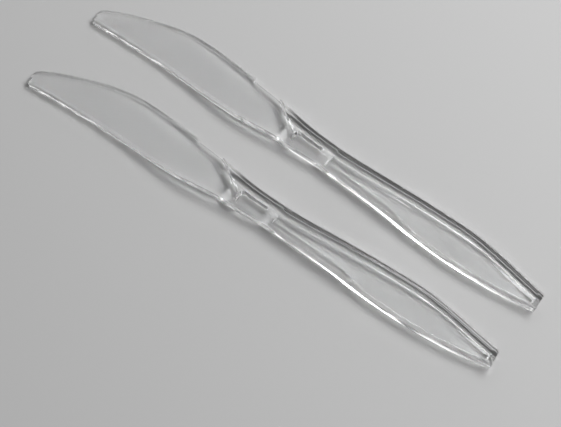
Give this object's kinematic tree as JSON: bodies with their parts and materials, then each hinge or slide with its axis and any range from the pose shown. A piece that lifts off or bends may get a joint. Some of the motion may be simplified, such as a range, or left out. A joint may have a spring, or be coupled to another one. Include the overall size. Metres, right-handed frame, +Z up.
{
  "type": "pack of plastic knives",
  "caption": "Clear plastic table knives lying side by side, each with a toothed blade and a hollowed, rimmed handle.",
  "frame": {"origin": "on the table, under the middle of the footprint of the two knives", "axes": "+X from the tips of the blades to the butts of the handles, along the front knife; +Y across, towards the toothed edges; +Z up from the table"},
  "size_m": [0.1948, 0.0552, 0.0041],
  "materials": {
    "clear_plastic": "clear, glossy moulded polystyrene"
  },
  "bodies": {
    "root": {"knife_front": "clear_plastic", "knife_rear": "clear_plastic"}
  },
  "joints": []
}
